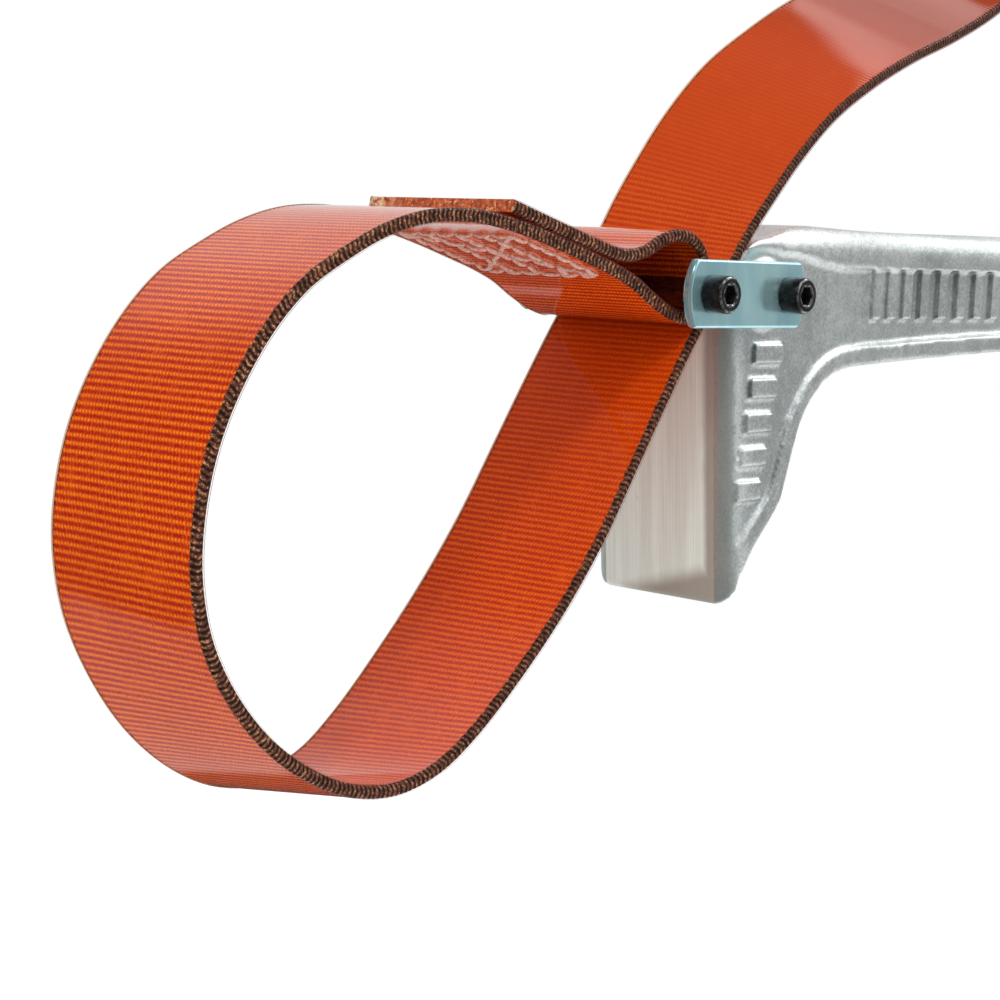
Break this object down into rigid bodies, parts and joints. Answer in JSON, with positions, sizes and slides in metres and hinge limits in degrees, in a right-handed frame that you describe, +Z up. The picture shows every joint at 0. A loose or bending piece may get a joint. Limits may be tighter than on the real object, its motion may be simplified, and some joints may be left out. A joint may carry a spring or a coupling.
{
  "type": "strap wrench",
  "caption": "Strap wrench: a cast handle with a curved foot, a pair of link plates and a coated webbing strap sewn round a sleeve, looped to grip a pipe.",
  "frame": {"origin": "middle of the handle's grip, on the level of the two screws", "axes": "X along the handle, +X away from the strap; Y across the strap, -Y the screw head side; +Z up"},
  "size_m": [0.2638, 0.0416, 0.1441],
  "materials": {
    "cast_aluminium": "satin as-cast aluminium, ground bright on the front face",
    "bronze": "sintered bronze",
    "zinc_plate": "bright zinc plating with a blue cast",
    "washer_steel": "zinc-plated steel",
    "dark_steel": "dark oiled steel tube",
    "black_oxide": "black oxide",
    "webbing": "woven nylon webbing under a clear glossy urethane coat",
    "thread": "bonded sewing thread"
  },
  "bodies": {
    "handle": {"handle_casting": "cast_aluminium", "pivot_bush": "bronze"},
    "link": {"link_plate_near": "zinc_plate", "link_plate_far": "zinc_plate", "pivot_screw": "black_oxide", "eye_screw": "black_oxide", "pivot_spacer_near": "washer_steel", "pivot_spacer_far": "washer_steel"},
    "sleeve": {"eye_sleeve": "dark_steel"},
    "webbing": {"strap": "webbing", "stitch_thread_top": "thread", "stitch_thread_under": "thread"}
  },
  "joints": [
    {"name": "link_pivot", "type": "hinge", "parent": "handle", "child": "link", "pos_m": [-0.08, 0, 0], "axis": [0, 1, 0], "range_deg": [-18, 12]},
    {"name": "strap_swing", "type": "hinge", "parent": "link", "child": "webbing", "pos_m": [-0.1002, 0, 0], "axis": [0, 1, 0], "range_deg": [-12, 0]},
    {"name": "sleeve_roll", "type": "hinge", "parent": "link", "child": "sleeve", "pos_m": [-0.1002, 0, 0], "axis": [0, 1, 0], "continuous": true}
  ]
}
